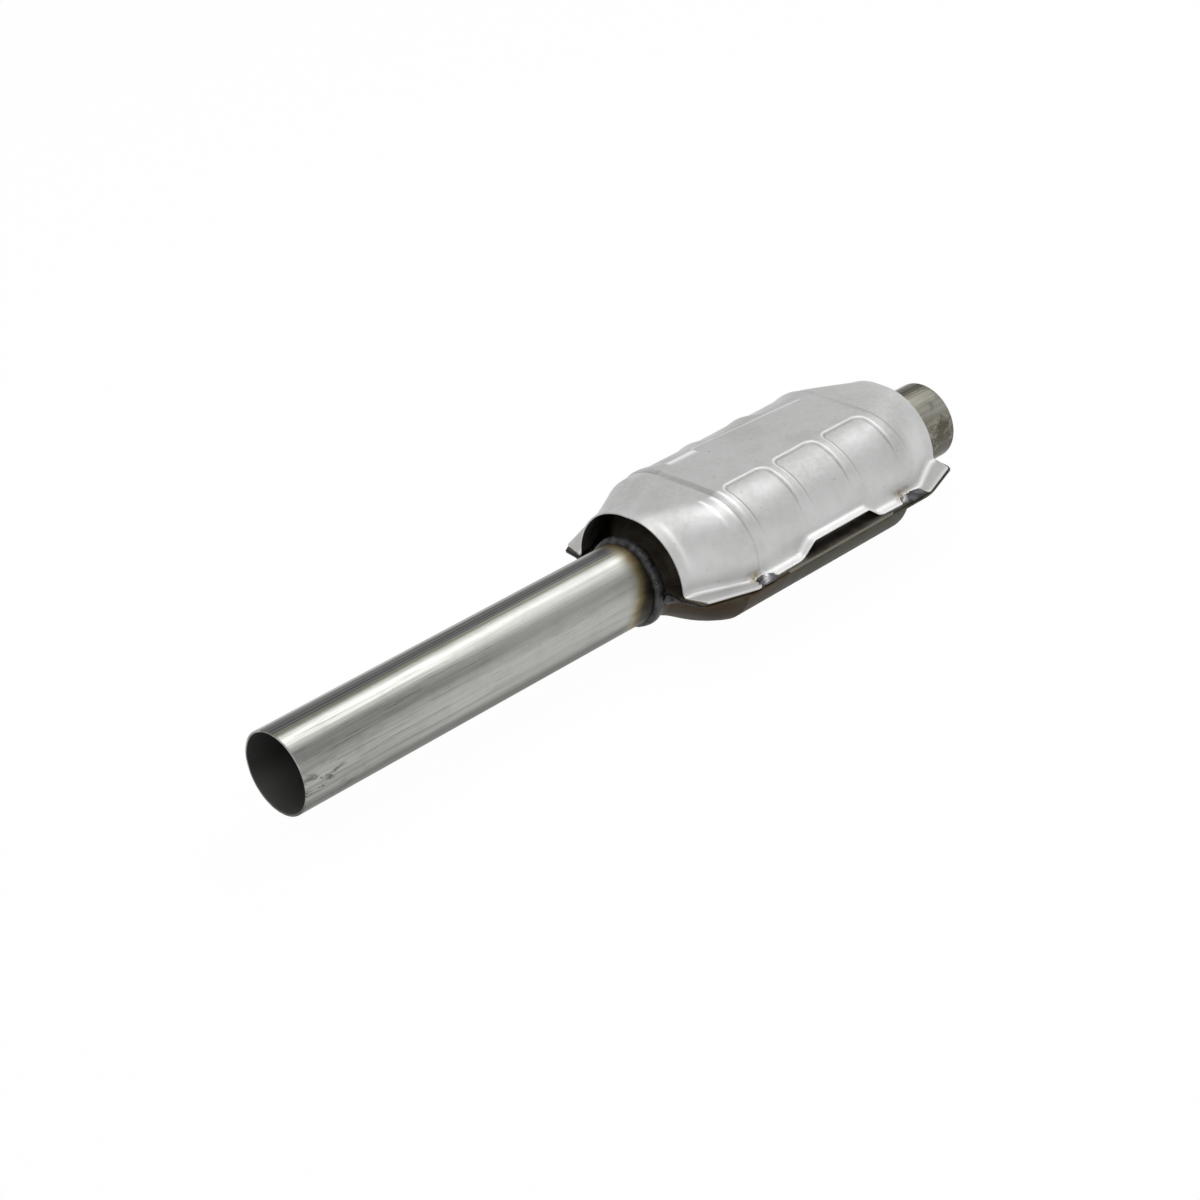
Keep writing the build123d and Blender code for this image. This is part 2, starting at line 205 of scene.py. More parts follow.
def product(tree, first, *others):
    """Shares multiplied together."""
    for other in others:
        first = maths(tree, "MULTIPLY", first, other)
    return first


def tinted(tree, colour, tint, *shares):
    """Colour changed towards a tint, by the product of its shares."""
    return blend_colour(tree, product(tree, *shares), colour, tint)


def colour_ramp(tree, value, stops):
    """Colours along a value, first to last."""
    made = shader_node(tree, "ValToRGB", {"Fac": value})
    elements = made.color_ramp.elements
    for element, (place, colour) in zip(elements, (stops[0], stops[-1])):
        element.position = place
        element.color = (*colour, 1.0)
    for place, colour in stops[1:-1]:
        elements.new(place).color = (*colour, 1.0)
    return made.outputs[0]


draw_marks, marks_in, marks_out = new_group(
    "draw_marks", {"Place": "Vector"}, {"Wide": "Float", "Fine": "Float"}
)
wide_marks = noise_at(draw_marks, marks_in["Place"], 130, 4, 0.6, (0.022, 1, 1))
fine_marks = noise_at(draw_marks, marks_in["Place"], 900, 3, 0.6, (0.012, 1, 1), (0.3, 0.1, 0.2))
draw_marks.links.new(span(draw_marks, wide_marks, 0.30, 0.70), marks_out["Wide"])
draw_marks.links.new(span(draw_marks, fine_marks, 0.30, 0.70), marks_out["Fine"])

grime, grime_in, grime_out = new_group(
    "grime",
    {"Place": "Vector", "Patch": "Float", "Speck": "Float"},
    {"Patches": "Float", "Specks": "Float"},
)
patch_noise = noise_at(grime, grime_in["Place"], grime_in["Patch"], 5, 0.62)
grime.links.new(span(grime, patch_noise, 0.46, 0.72), grime_out["Patches"])
speck_noise = noise_at(grime, grime_in["Place"], grime_in["Speck"], 2, 0.5)
speckled = span(grime, noise_at(grime, grime_in["Place"], 55.0, 1), 0.50, 0.62)
specks = product(grime, span(grime, speck_noise, 0.70, 0.76), speckled)
grime.links.new(specks, grime_out["Specks"])

weld_heat, heat_in, heat_out = new_group(
    "weld_heat",
    {"Distance": "Float", "Reach": "Float", "Place": "Vector"},
    {"Colour": "Color", "Share": "Float"},
)
heat_wave = noise_at(weld_heat, heat_in["Place"], 110, 4, 0.6, (0.25, 1, 1))
heat_shift = span(weld_heat, heat_wave, 0.2, 0.8, -0.13, 0.13, "LINEAR")
heat_run = maths(weld_heat, "DIVIDE", heat_in["Distance"], heat_in["Reach"])
heat_run = maths(weld_heat, "ADD", heat_run, heat_shift)
heat_colours = colour_ramp(
    weld_heat,
    heat_run,
    [
        (0.00, (0.024, 0.021, 0.016)),
        (0.18, (0.050, 0.041, 0.027)),
        (0.30, (0.120, 0.094, 0.050)),
        (0.42, (0.205, 0.165, 0.092)),
        (0.58, (0.300, 0.270, 0.185)),
        (0.99, (0.360, 0.350, 0.310)),
    ],
)
weld_heat.links.new(heat_colours, heat_out["Colour"])
weld_heat.links.new(span(weld_heat, heat_run, 0.42, 0.95, 1.0, 0.0), heat_out["Share"])


def new_material(name):
    """An empty material, with its tree, its principled shader and the place it is painted by."""
    material = bpy.data.materials.new(name)
    material.use_nodes = True
    tree = material.node_tree
    tree.nodes.clear()
    shader = shader_node(tree, "BsdfPrincipled")
    shader_node(tree, "OutputMaterial", {"Surface": shader.outputs[0]})
    place = shader_node(tree, "TexCoord").outputs["Object"]
    return material, tree, shader, place


def paint(tree, shader, **finish):
    """Feed the principled shader; underscores stand for spaces in its socket names."""
    for name, value in finish.items():
        socket = shader.inputs[name.replace("_", " ")]
        if isinstance(value, bpy.types.NodeSocket):
            tree.links.new(value, socket)
        else:
            socket.default_value = value


def mesh_mark(tree, name):
    """A mark that a piece's mesh keeps at its points, from nought to one."""
    return shader_node(tree, "Attribute", attribute_name=name).outputs["Fac"]


def bumped(tree, height, depth):
    """Normal of a surface raised by a height between nought and one, depth in metres."""
    return shader_node(tree, "Bump", {"Distance": depth, "Height": height}).outputs[0]


def bare_piece(name, bm, material, nodes, sharp_angle=40, facing=0):
    """Make a mesh a piece that rides on the body and stands for its solids.

    A sheet, which is open, also says whether it faces up or down.
    """
    bmesh.ops.recalc_face_normals(bm, faces=bm.faces)
    if sum(f.normal.z for f in bm.faces) * facing < 0:
        bmesh.ops.reverse_faces(bm, faces=bm.faces)
    mesh = bpy.data.meshes.new(name)
    bm.to_mesh(mesh)
    bm.free()
    mesh.shade_smooth()
    mesh.set_sharp_from_angle(angle=radians(sharp_angle))
    mesh.materials.append(material)
    piece = bpy.data.objects.new(name, mesh)
    bpy.context.scene.collection.objects.link(piece)
    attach(piece, "root")
    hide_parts(*nodes)
    return piece


# Exhaust pipes: thin stainless tube, rolled and welded along a seam that lies on top, cut
# square and deburred at its mouth, and sized down where it slips into the body's neck.
pipe_mouth, pipe_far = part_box("inlet_pipe")
pipe_radius = pipe_far.z
pipe_wall = 1.65 * mm
sized_step = 0.6 * mm
lip_round = 0.3 * mm
pipe_sides = 176
merge_gap = 0.01 * mm
inlet_length = 295.8 * mm
outlet_start = 566.3 * mm
shell_low, shell_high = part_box("lower_half_shell")
body_start = shell_low.x
body_end = shell_high.x


def spun(section, steps):
    """A closed section above the pipes' axis, spun all the way round it."""
    bm = bmesh.new()
    corners = [bm.verts.new((x, 0, z)) for x, z in section]
    edges = [bm.edges.new(pair) for pair in zip(corners, corners[1:] + corners[:1])]
    turn = {"cent": (0, 0, 0), "axis": (1, 0, 0), "angle": 2 * pi, "steps": steps}
    bmesh.ops.spin(bm, geom=corners + edges, use_merge=True, **turn)
    bmesh.ops.remove_doubles(bm, verts=bm.verts, dist=merge_gap)
    return bm


def tube(name, mouth, shoulder, hidden_end, material, slot, node):
    """A thin pipe: its wall's section spun round, with a rounded lip at its mouth."""
    inward = 1 if shoulder > mouth else -1
    wall_section = [
        (mouth, pipe_radius),
        (shoulder, pipe_radius),
        (shoulder, pipe_radius - sized_step),
        (hidden_end, pipe_radius - sized_step),
        (hidden_end, pipe_radius - sized_step - pipe_wall),
        (shoulder + inward * sized_step, pipe_radius - sized_step - pipe_wall),
        (shoulder, pipe_radius - pipe_wall),
        (mouth, pipe_radius - pipe_wall),
    ]
    bm = spun(wall_section, pipe_sides)
    lip = [e for e in bm.edges if all(abs(v.co.x - mouth) < merge_gap for v in e.verts)]
    lip = [e for e in lip if abs(e.verts[0].co.yz.length - e.verts[1].co.yz.length) < merge_gap]
    bmesh.ops.bevel(
        bm, geom=lip, offset=lip_round, segments=3, profile=0.5, affect="EDGES", material=-1
    )
    return bare_piece(name, bm, material, [node])


def pipe_finish(
    name,
    steel,
    streak,
    bright,
    seam_dark,
    seam_light,
    underside_shade,
    heat_from,
    heat_reach,
    stain_share,
    low_stain,
    sheen_share,
):
    """Drawn stainless with streaks along the pipe, the welded seam and the weld's heat colours."""
    material, tree, shader, place = new_material(name)
    axes = shader_node(tree, "SeparateXYZ", {0: place}).outputs
    marks = use_group(tree, draw_marks, {"Place": place})
    dirt = use_group(tree, grime, {"Place": place, "Patch": 62.0, "Speck": 420.0})

    # Streaks and scratches lie along the pipe, and a painted sheen lightens the long pipe away from
    # its mouth
    colour = blend_colour(tree, marks["Wide"], streak, steel)
    colour = tinted(tree, colour, bright, marks["Fine"], 0.44)
    scratches = noise_at(tree, place, 700, 4, 0.7, (0.03, 1, 1), (0.5, 0.2, 0.1))
    scratched = span(tree, scratches, 0.52, 0.68, 0.0, 0.72)
    colour = blend_colour(tree, scratched, colour, streak)
    away = span(tree, axes["X"], 50 * mm, 220 * mm)
    colour = tinted(tree, colour, bright, away, sheen_share)

    # The underside is dull and darkened by painted shade, and the lower half is smudged near the
    # mouth
    shaded_underside = span(tree, axes["Z"], -6 * mm, -15 * mm)
    colour = tinted(tree, colour, underside_shade, shaded_underside, 0.88)
    smudge = span(tree, noise_at(tree, place, 170, 5, 0.7, (0.40, 1, 1)), 0.50, 0.60)
    near_mouth = span(tree, axes["X"], 62 * mm, 14 * mm)
    low_side = span(tree, axes["Z"], 14 * mm, 2 * mm)
    smudge_colour = (0.060, 0.057, 0.045)
    colour = tinted(tree, colour, smudge_colour, smudge, low_side, near_mouth, 0.78)

    # The seam: a burnished, striped band with a straw-coloured line along its near edge
    seam_middle = 3.4 * mm
    seam_half = 6.4 * mm
    straw_middle = -4.3 * mm
    off_seam = maths(tree, "ABSOLUTE", maths(tree, "SUBTRACT", axes["Y"], seam_middle))
    on_top = span(tree, axes["Z"], 0.0, 5 * mm)
    band = span(tree, off_seam, seam_half, 0.86 * seam_half)
    seam_lines = noise_at(tree, place, 620, 2, 0.6, (0.004, 1, 0))
    seam_colour = blend_colour(tree, span(tree, seam_lines, 0.42, 0.60), seam_dark, seam_light)
    colour = tinted(tree, colour, seam_colour, band, on_top, 0.92)
    off_straw = maths(tree, "ABSOLUTE", maths(tree, "SUBTRACT", straw_middle, axes["Y"]))
    straw_line = span(tree, off_straw, 2.0 * mm, 0.6 * mm)
    colour = tinted(tree, colour, (0.215, 0.210, 0.150), straw_line, on_top, 0.75)

    # Heat colours run back from the weld, further along the underside. Stains lie in patches
    # and, as spots, along the sides.
    distance = maths(tree, "ABSOLUTE", maths(tree, "SUBTRACT", axes["X"], heat_from))
    sunk_heat = span(tree, axes["Z"], -4 * mm, 28 * mm, -6.5 * mm, 6 * mm, "LINEAR")
    distance = maths(tree, "ADD", distance, sunk_heat)
    heat = use_group(tree, weld_heat, {"Distance": distance, "Reach": heat_reach, "Place": place})
    colour = blend_colour(tree, heat["Share"], colour, heat["Colour"])
    spots = span(tree, noise_at(tree, place, 420, 5, 0.7), 0.40, 0.58, 0.45, 1.0)
    lower = span(tree, axes["Z"], 22 * mm, 2 * mm, 0.0, low_stain)
    lower = product(tree, lower, span(tree, axes["Z"], -22 * mm, -10 * mm), spots)
    stain = maths(tree, "ADD", dirt["Patches"], lower, clamp=True)
    colour = tinted(tree, colour, (0.056, 0.050, 0.029), stain, stain_share)
    colour = tinted(tree, colour, (0.07, 0.06, 0.05), dirt["Specks"], 0.7)

    # The bore is dull and painted dark as shade, and a little paler along its bottom as painted light
    # through the mouth
    across = shader_node(tree, "CombineXYZ", {"Y": axes["Y"], "Z": axes["Z"]}).outputs[0]
    radius = shader_node(tree, "VectorMath", {0: across}, operation="LENGTH").outputs[1]
    inside = span(tree, radius, pipe_radius - 0.7 * pipe_wall, pipe_radius - 0.85 * pipe_wall)
    lit_bore_bottom = span(tree, axes["Z"], -4 * mm, -24 * mm)
    bore_shade = blend_colour(tree, lit_bore_bottom, (0.050, 0.050, 0.048), (0.150, 0.150, 0.145))
    colour = blend_colour(tree, inside, colour, bore_shade)

    rough = span(tree, marks["Wide"], 0.0, 1.0, 0.38, 0.27, "LINEAR")
    for mask, rougher in ((away, 0.11), (inside, 0.35), (heat["Share"], 0.10)):
        rough = maths(tree, "ADD", rough, product(tree, mask, rougher))
    fine_relief = product(tree, marks["Fine"], 0.35)
    relief = maths(tree, "ADD", fine_relief, product(tree, marks["Wide"], 0.5))
    paint(
        tree,
        shader,
        Base_Color=colour,
        Metallic=span(tree, inside, 0.0, 1.0, 1.0, 0.55, "LINEAR"),
        Roughness=rough,
        Normal=bumped(tree, relief, depth=0.03 * mm),
    )
    return material


long_pipe_steel = pipe_finish(
    "long_pipe_steel",
    steel=(0.385, 0.387, 0.362),
    streak=(0.200, 0.202, 0.185),
    bright=(0.52, 0.52, 0.50),
    seam_dark=(0.070, 0.069, 0.066),
    seam_light=(0.225, 0.226, 0.228),
    underside_shade=(0.080, 0.080, 0.066),
    heat_from=inlet_length,
    heat_reach=22 * mm,
    stain_share=0.11,
    low_stain=0.0,
    sheen_share=0.42,
)
short_pipe_steel = pipe_finish(
    "short_pipe_steel",
    steel=(0.420, 0.410, 0.350),
    streak=(0.200, 0.192, 0.150),
    bright=(0.54, 0.53, 0.49),
    seam_dark=(0.034, 0.030, 0.021),
    seam_light=(0.120, 0.104, 0.072),
    underside_shade=(0.150, 0.146, 0.120),
    heat_from=outlet_start,
    heat_reach=14 * mm,
    stain_share=0.86,
    low_stain=0.95,
    sheen_share=0.0,
)
short_far, short_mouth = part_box("outlet_pipe")
long_run = (pipe_mouth.x, inlet_length, pipe_far.x)
short_run = (short_mouth.x, outlet_start, short_far.x)
tube("long_pipe", *long_run, long_pipe_steel, "pipe_steel", "inlet_pipe")
tube("short_pipe", *short_run, short_pipe_steel, "outlet_steel", "outlet_pipe")


# Half shells: two pressings of dark, heat-scaled steel sheet. Each swells from a round neck
# to an oval belly and ends in a flat flange, and the two flanges lie on each other.
sheet = 1.6 * mm
shell_length = body_end - body_start
half_body_width = 64.5 * mm
half_body_height = -shell_low.z
crown_angle = 62
neck_radius = pipe_radius - sized_step + 0.1 * mm + sheet
neck_length = 12 * mm
cone_length = 38 * mm
cone_bend = 0.35
flange_half_width = shell_high.y
flange_lap = 1.0 * mm
flange_nose_run = 5.5 * mm
flange_nose_inset = 13 * mm
flange_corner_run = 42 * mm
flange_ease = 6 * mm
upper_flange_inset = 1.0 * mm
ledge_reach = (74.4 * mm, 179.6 * mm)
shell_fold = 1.6 * mm
facing_gap = 0.03 * mm
pressed_merge_gap = 0.02 * mm
oval_steps = 26
shell_step = 4 * mm
shell_fold_reach = 3 * mm
shell_fold_step = 0.9 * mm


def places_along(length, coarse, folds):
    """Runs from 0 to a length: coarse steps, with each fold's own finer ones round it."""
    runs = [0.0]
    while runs[-1] < length:
        near = [fine for fold, reach, fine in folds if abs(runs[-1] + fine - fold) < reach]
        runs.append(min(runs[-1] + min(near + [coarse]), length))
    return runs


def between(value, stops):
    """Value read from straight stretches between (place, value) stops."""
    for (low, first), (high, second) in zip(stops, stops[1:]):
        if value <= high:
            share = max(value - low, 0.0) / (high - low)
            return first + (second - first) * share
    return stops[-1][1]


def eased(value, stops, ease):
    """The same with its corners rounded, by averaging over a short reach."""
    low, high = stops[0][0], stops[-1][0]
    offsets = (-1.0, -0.6, -0.2, 0.2, 0.6, 1.0)
    near = [between(min(max(value + ease * o, low), high), stops) for o in offsets]
    return sum(near[1:], near[0]) / len(near)


def smooth_step(low, high, value):
    """Nought below low, one above high and a soft rise between."""
    share = min(max((value - low) / (high - low), 0.0), 1.0)
    return share * share * (3 - 2 * share)


def pressed_sheet(runs, rows, placed, marks=None):
    """A flat grid whose crossings are pressed to their places, with marks kept for its paint."""
    bm = bmesh.new()
    layers = [(bm.verts.layers.float.new(name), mark) for name, mark in (marks or {}).items()]
    last_run = len(runs) - 1
    last_row = len(rows) - 1
    bmesh.ops.create_grid(bm, x_segments=last_run, y_segments=last_row, size=1)
    for v in bm.verts:
        run = runs[round((v.co.x + 1) / 2 * last_run)]
        row = rows[round((v.co.y + 1) / 2 * last_row)]
        v.co = placed(run, *row)
        for layer, mark in layers:
            v[layer] = mark(run, *row)
    bmesh.ops.remove_doubles(bm, verts=bm.verts, dist=pressed_merge_gap)
    return bm


def thickened(piece, thickness, edge_round, inside_material=None):
    """Give a pressed sheet its thickness towards the inside, and break its cut edges."""
    wall = piece.modifiers.new("wall", "SOLIDIFY")
    wall.thickness = thickness
    wall.offset = -1
    wall.use_quality_normals = True
    if inside_material is not None:
        piece.data.materials.append(inside_material)
        wall.material_offset = 1
    edge = piece.modifiers.new("cut_edge", "BEVEL")
    edge.width = edge_round
    edge.segments = 2
    edge.limit_method = "ANGLE"
    edge.angle_limit = radians(60)
    edge.use_clamp_overlap = True


def neck_swell(run):
    """Nought at a neck and one on the straight body."""
    share = (min(run, shell_length - run) - neck_length) / cone_length
    share = min(max(share, 0.0), 1.0)
    return share - cone_bend * sin(2 * pi * share) / (2 * pi)


def flange_edge(run, widest):
    """Half width of the flange out to its cut edge."""
    near_end = min(run, shell_length - run)
    edge = [
        (0.0, neck_radius),
        (flange_lap, neck_radius),
        (flange_nose_run, widest - flange_nose_inset),
        (flange_corner_run, widest),
        (shell_length, widest),
    ]
    if near_end < flange_corner_run - flange_ease:
        return between(near_end, edge)
    return eased(near_end, edge, flange_ease)


def shell_point(run, zone, share, side, facing, widest):
    """Place on a half shell's outside: on its oval, in the fold at its foot or on its flange."""
    swell = neck_swell(run)
    half_width = neck_radius + (half_body_width - neck_radius) * swell
    half_height = neck_radius + (half_body_height - neck_radius) * swell
    join = radians(crown_angle)
    spread = (half_width - half_height) / (cos(join) + sin(join) - 1)
    side_radius = half_width - spread * cos(join)
    crown_radius = side_radius + spread
    flange = max(widest(run) - half_width, 0.0)
    level = min(sheet, flange)
    fold = min(shell_fold, 0.5 * flange)
    if zone == "oval":
        lowest = (level + fold) / side_radius
        angle = lowest + (pi / 2 - lowest) * share
        if angle > join:
            y, z = crown_radius * cos(angle), half_height + crown_radius * (sin(angle) - 1)
        else:
            y = half_width + side_radius * (cos(angle) - 1)
            z = side_radius * sin(angle)
    elif zone == "fold":
        angle = pi / 2 * share
        y = half_width + fold * (1 - sin(angle))
        z = level + fold * (1 - cos(angle))
    else:
        y = half_width + fold + (flange - fold) * share
        z = level
    return Vector((body_start + run, side * y, facing * z))


def sheet_rows(zones):
    """Rows from one cut edge over the crown to the other; each zone is read crown to edge."""
    half = [(zone, share) for zone, shares in zones for share in shares]
    return [(z, s, -1) for z, s in reversed(half)] + [(z, s, 1) for z, s in half[1:]]


def half_shell(name, node, material, facing, inset=0.0, ledge=False):
    """One pressing, facing up or down."""

    def widest(run):
        if ledge and ledge_reach[0] < run < ledge_reach[1]:
            return flange_half_width
        return flange_edge(run, flange_half_width) - (inset if run > flange_lap else 0.0)

    folds = [0.0, flange_lap, flange_nose_run, neck_length, flange_corner_run]
    folds += [neck_length + cone_length]
    folds += [shell_length - fold for fold in folds] + list(ledge_reach)
    fine_steps = [(fold, shell_fold_reach, shell_fold_step) for fold in folds]
    runs = places_along(shell_length, shell_step, fine_steps)
    rows = sheet_rows(
        [
            ("oval", [1 - i / oval_steps for i in range(oval_steps + 1)]),
            ("fold", [0.75, 0.5, 0.25]),
            ("flange", [0.0, 0.33, 0.66, 1.0]),
        ]
    )
    bm = pressed_sheet(
        runs, rows, lambda run, zone, share, side: shell_point(run, zone, share, side, facing, widest)
    )
    piece = bare_piece(name, bm, material, [node], 50, facing)
    thickened(piece, sheet - facing_gap, edge_round=0.25 * mm)


def scaled_steel(name, warm, cool, rust_share, flange_edge_highlight):
    """Sheet browned and greyed by heat, rusty near the inlet weld, darker towards the bottom as
    painted shade, with a painted highlight along its flange's edge.
    """
    material, tree, shader, place = new_material(name)
    axes = shader_node(tree, "SeparateXYZ", {0: place}).outputs
    dirt = use_group(tree, grime, {"Place": place, "Patch": 30.0, "Speck": 500.0})
    mottle = span(tree, noise_at(tree, place, 75, 6, 0.65), 0.35, 0.65)
    colour = blend_colour(tree, mottle, warm, cool)
    colour = tinted(tree, colour, (0.125, 0.118, 0.088), dirt["Patches"], 0.6)
    near_weld = span(tree, axes["X"], body_start + 120 * mm, body_start + 30 * mm)
    rusted = span(tree, mottle, 0.0, 1.0, rust_share, 0.5 * rust_share)
    colour = tinted(tree, colour, (0.058, 0.028, 0.010), near_weld, rusted)
    colour = tinted(tree, colour, (0.30, 0.28, 0.24), dirt["Specks"], 0.8)
    # Darker towards the bottom: painted shade under the belly
    low = span(tree, axes["Z"], -6 * mm, -34 * mm, 0.0, 0.6)
    colour = blend_colour(tree, low, colour, (0.022, 0.020, 0.014))
    # A painted highlight along the flange's cut edge
    off_middle = maths(tree, "ABSOLUTE", axes["Y"])
    lit_flange_edge = span(tree, off_middle, flange_half_width - 1.0 * mm, flange_half_width - 0.4 * mm)
    colour = tinted(tree, colour, (0.30, 0.29, 0.24), lit_flange_edge, flange_edge_highlight)
    grain = noise_at(tree, place, 600, 4, 0.6)
    paint(
        tree,
        shader,
        Base_Color=colour,
        Metallic=0.4,
        Roughness=span(tree, mottle, 0.0, 1.0, 0.52, 0.66, "LINEAR"),
        Specular_IOR_Level=0.2,
        Normal=bumped(tree, grain, depth=0.06 * mm),
    )
    return material


belly_browns = ((0.052, 0.046, 0.030), (0.086, 0.085, 0.063))
covered_browns = ((0.050, 0.042, 0.032), (0.088, 0.080, 0.068))
belly_steel = scaled_steel("belly_steel", *belly_browns, rust_share=0.95, flange_edge_highlight=0.0)
covered_steel = scaled_steel("covered_steel", *covered_browns, rust_share=0.25, flange_edge_highlight=0.5)
half_shell(
    "upper_shell", "upper_half_shell", covered_steel, facing=1, inset=upper_flange_inset, ledge=True
)
half_shell("lower_shell", "lower_half_shell", belly_steel, facing=-1)


# Weld beads: thick rings of filler run round each pipe where it enters its neck, and
# shorter lumpy beads that close the flanges' front edges.
bead_width = 8.5 * mm
bead_height = 4.3 * mm
bead_fullness = 0.8
ripple_pitch = 2.6 * mm
ripple_depth = 0.42 * mm
ripple_bow = 0.35
bead_steps = 264
bead_arc_points = 10
slag_depth = 0.55 * mm
slag_out = 9 * mm
slag_along = 12 * mm
rippled_above = 0.4 * mm


def weld_metal(name, dark, light):
    """Dull blue-black filler, with painted glints here and there and a painted highlight where its
    mesh has a crest.
    """
    material, tree, shader, place = new_material(name)
    lumps = noise_at(tree, place, 170, 4, 0.6)
    # Painted glints: bright specks standing in for highlights
    painted_glints = span(tree, noise_at(tree, place, 420, 3, 0.6), 0.64, 0.74)
    colour = blend_colour(tree, span(tree, lumps, 0.35, 0.65), dark, light)
    colour = tinted(tree, colour, (0.24, 0.24, 0.25), painted_glints, 0.5)
    # A painted highlight along the crest marked in the mesh
    colour = blend_colour(tree, mesh_mark(tree, "crest"), colour, (0.72, 0.72, 0.74))
    paint(
        tree,
        shader,
        Base_Color=colour,
        Metallic=0.8,
        Roughness=span(tree, lumps, 0.3, 0.7, 0.34, 0.56, "LINEAR"),
        Normal=bumped(tree, noise_at(tree, place, 420, 6, 0.7), depth=0.5 * mm),
    )
    return material


bead_metal = weld_metal("bead_metal", (0.025, 0.025, 0.025), (0.080, 0.079, 0.080))


def ripple(along, across):
    """Height of a run of overlapping ripples, bowed across the bead."""
    phase = along / ripple_pitch + ripple_bow * across * across
    step = phase - int(phase)
    return ripple_depth * (1 - step) * smooth_step(0.0, 0.25, step)


def lumpiness(place, size, depth):
    """Random lumps of about a size, both ways from nought."""
    return noise.noise(Vector(place) / size) * depth


def ring_bead(name, pipe_side, neck_side, node):
    """A ring bead: a crowned section spun round the pipe, then rippled."""
    middle = (pipe_side + neck_side) / 2
    root = pipe_radius - sized_step
    crest = root + bead_height
    section = []
    for i in range(bead_arc_points + 1):
        turn = pi * i / bead_arc_points
        foot = pipe_radius + (neck_radius - pipe_radius) * i / bead_arc_points
        x = middle - (neck_side - pipe_side) / 2 * cos(turn)
        section.append((x, foot + (crest - foot) * sin(turn) ** bead_fullness))
    section += [(middle, neck_radius), (middle, root), (pipe_side, root)]
    bm = spun(section, bead_steps)
    for v in bm.verts:
        outward = Vector((0, v.co.y, v.co.z))
        height = outward.length - pipe_radius
        if height > rippled_above:
            around = Vector((0, 0, 1)).angle(outward) * (1 if v.co.y > 0 else -1) + pi
            across = (v.co.x - middle) / bead_width * 2
            share = min(height / (bead_height - sized_step), 1.0)
            lift = ripple(around * crest, across) - ripple_depth
            lift += lumpiness(v.co, slag_out, slag_depth)
            v.co += outward.normalized() * lift * share
            v.co.x += lumpiness(v.co.zxy, slag_along, slag_depth) * share
    return bare_piece(name, bm, bead_metal, [node], 60)


ring_bead("long_pipe_bead", inlet_length, inlet_length + bead_width, "inlet_pipe_weld")
ring_bead("short_pipe_bead", outlet_start, outlet_start - bead_width, "outlet_pipe_weld")

seam_bead_radius = 3.9 * mm
seam_bead_tail = 0.14
seam_bead_overrun = 1.5 * mm
lump_pitch = 6.4 * mm
lump_swell = 0.16
bluntest_swell = 2.2
edge_lumps = [(5 * mm, 2 * slag_depth), (1.8 * mm, 0.8 * slag_depth)]


def edge_bead(name, node):
    """A lumpy bead laid along a flange's front edge, over the plain solid's own run."""
    low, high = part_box(node)
    at_inlet = low.x < (body_start + body_end) / 2
    outside, inside = (low.x, high.x) if at_inlet else (high.x, low.x)
    side = 1 if low.y > 0 else -1
    near_neck = Vector((outside, side * min(abs(low.y), abs(high.y)), 0))
    near_corner = Vector((inside, side * max(abs(low.y), abs(high.y)), 0))
    along = (near_corner - near_neck).normalized()
    half_length = (near_corner - near_neck).length / 2 + seam_bead_overrun
    bm = bmesh.new()
    bmesh.ops.create_uvsphere(bm, u_segments=28, v_segments=72, radius=1)
    for v in bm.verts:
        run = v.co.z * half_length
        swell = 1 + lump_swell * cos(2 * pi * run / lump_pitch) * (1 - v.co.z**2)
        swell *= seam_bead_tail + (1 - seam_bead_tail) * smooth_step(-0.1, -0.85, v.co.z)
        blunt_end = max(1 - v.co.z**8, 0.0) ** 0.5 / max((1 - v.co.z**2) ** 0.5, 0.05)
        v.co.x *= seam_bead_radius * swell * min(blunt_end, bluntest_swell)
        v.co.y *= seam_bead_radius * swell * min(blunt_end, bluntest_swell)
        v.co.z = run
        for size, depth in edge_lumps:
            v.co += v.normal * lumpiness(v.co + near_neck, size, depth) * swell
    turn = Vector((0, 0, 1)).rotation_difference(along).to_matrix()
    bmesh.ops.rotate(bm, cent=(0, 0, 0), matrix=turn, verts=bm.verts)
    bmesh.ops.translate(bm, vec=(near_neck + near_corner) / 2, verts=bm.verts)
    return bare_piece(name, bm, bead_metal, [node], 60)


for end in ("inlet", "outlet"):
    for side_name in ("left", "right"):
        edge_bead(f"{end}_edge_bead_{side_name}", f"{end}_seam_weld_{side_name}")


# Heat shield: one pressing of bright aluminised sheet over the top half. Its top panel and
# ribs stand proud of sunk side panels, and its rim is raised clear of the shell mid-way.
shield_low, shield_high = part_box("heat_shield")
shield_start = shield_low.x
shield_length = shield_high.x - shield_start
shield_foot = shield_low.z
shield_sheet = 1.0 * mm
arch_size = Vector((48.4, 46.4, 44.2)) * mm
collar_size = Vector((49.0, 48.3, 45.0)) * mm
shoulder_size = Vector((65.7, 48.9, 43.0)) * mm
barrel_size = Vector((66.2, 48.8, 42.4)) * mm
collar_run = 8.5 * mm
near_shoulder = 42 * mm
far_shoulder = 39 * mm
near_barrel = 51 * mm
near_rib = 58 * mm
far_barrel = 43 * mm
size_ease = 2.2 * mm
size_stops = [
    (0.0, arch_size),
    (collar_run, collar_size),
    (near_shoulder, shoulder_size),
    (near_barrel, barrel_size),
    (shield_length - far_barrel, barrel_size),
    (shield_length - far_shoulder, shoulder_size),
    (shield_length - collar_run, collar_size),
    (shield_length, arch_size),
]
wall_draft = radians(10)
foot_fold = 2.6 * mm
mid_foot_fold = 4.8 * mm

